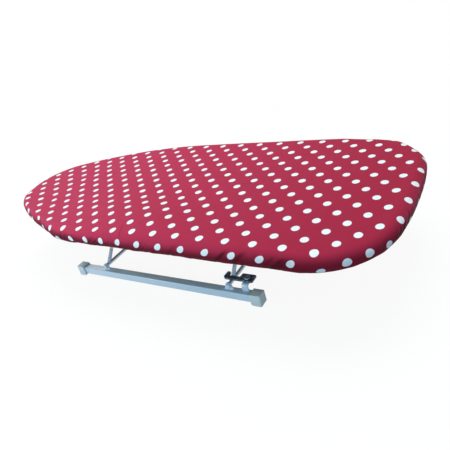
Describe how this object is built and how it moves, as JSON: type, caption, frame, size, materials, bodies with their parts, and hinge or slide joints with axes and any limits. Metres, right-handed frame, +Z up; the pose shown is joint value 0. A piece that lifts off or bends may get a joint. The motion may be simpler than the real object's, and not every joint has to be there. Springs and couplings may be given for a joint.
{
  "type": "tabletop ironing board",
  "caption": "Tabletop ironing board with a padded dotted cover on a folding wire stand with lengthwise foot rails and a hook latch.",
  "frame": {"origin": "on the table, below the middle of the board", "axes": "+X along the board toward its wide tail end, +Y across toward the side away from the latch, +Z up"},
  "size_m": [0.7209, 0.311, 0.1316],
  "materials": {
    "rail_steel": "light blue-grey paint on steel tube",
    "cap_plastic": "grey-green moulded plastic",
    "rivet_steel": "bare steel",
    "wire_steel": "grey paint on drawn wire",
    "bright_steel": "zinc-plated steel",
    "panel_wood": "raw particle board",
    "pad_felt": "off-white felt",
    "cover_cotton": "crimson cotton with pale round dots",
    "elastic_cord": "white woven elastic",
    "bracket_steel": "zinc-plated pressed sheet",
    "hook_steel": "dark lacquered steel"
  },
  "bodies": {
    "base": {"near_foot_rail": "rail_steel", "far_foot_rail": "rail_steel", "near_nose_end_cap": "cap_plastic", "near_tail_end_cap": "cap_plastic", "far_nose_end_cap": "cap_plastic", "far_tail_end_cap": "cap_plastic", "near_nose_ear": "rail_steel", "near_tail_ear": "rail_steel", "far_nose_ear": "rail_steel", "far_tail_ear": "rail_steel", "latch_lug": "rail_steel", "latch_rivet": "rivet_steel"},
    "tail_leg": {"tail_leg_wire": "wire_steel", "tail_cross_axle": "wire_steel", "tail_axle_caps": "bright_steel"},
    "nose_leg": {"nose_leg_wire": "wire_steel", "nose_cross_axle": "wire_steel", "nose_axle_caps": "bright_steel"},
    "board": {"board_panel": "panel_wood", "pad": "pad_felt", "cover": "cover_cotton", "hem_elastic": "elastic_cord", "nose_hinge_bracket": "bracket_steel", "tail_hinge_bracket": "bracket_steel", "hinge_screws": "bright_steel"},
    "latch": {"latch_hook": "hook_steel"}
  },
  "joints": [
    {"name": "fold", "type": "hinge", "parent": "base", "child": "tail_leg", "pos_m": [0.122, 0, 0.0218], "axis": [0, -1, 0], "range_deg": [0, 90]},
    {"name": "board_level", "type": "hinge", "parent": "tail_leg", "child": "board", "pos_m": [0.122, 0, 0.0956], "axis": [0, -1, 0], "range_deg": [-90, 0]},
    {"name": "nose_leg_fold", "type": "hinge", "parent": "base", "child": "nose_leg", "pos_m": [-0.127, 0, 0.0218], "axis": [0, -1, 0], "range_deg": [0, 90]},
    {"name": "latch_swing", "type": "hinge", "parent": "base", "child": "latch", "pos_m": [0.1485, -0.088, 0.0283], "axis": [0, 0, 1], "range_deg": [0, 90]}
  ],
  "couplings": [
    {"joint": "board_level", "follows": "fold", "ratio": -1},
    {"joint": "nose_leg_fold", "follows": "fold", "ratio": 1},
    {"joint": "latch_swing", "follows": "fold", "ratio": 1}
  ]
}
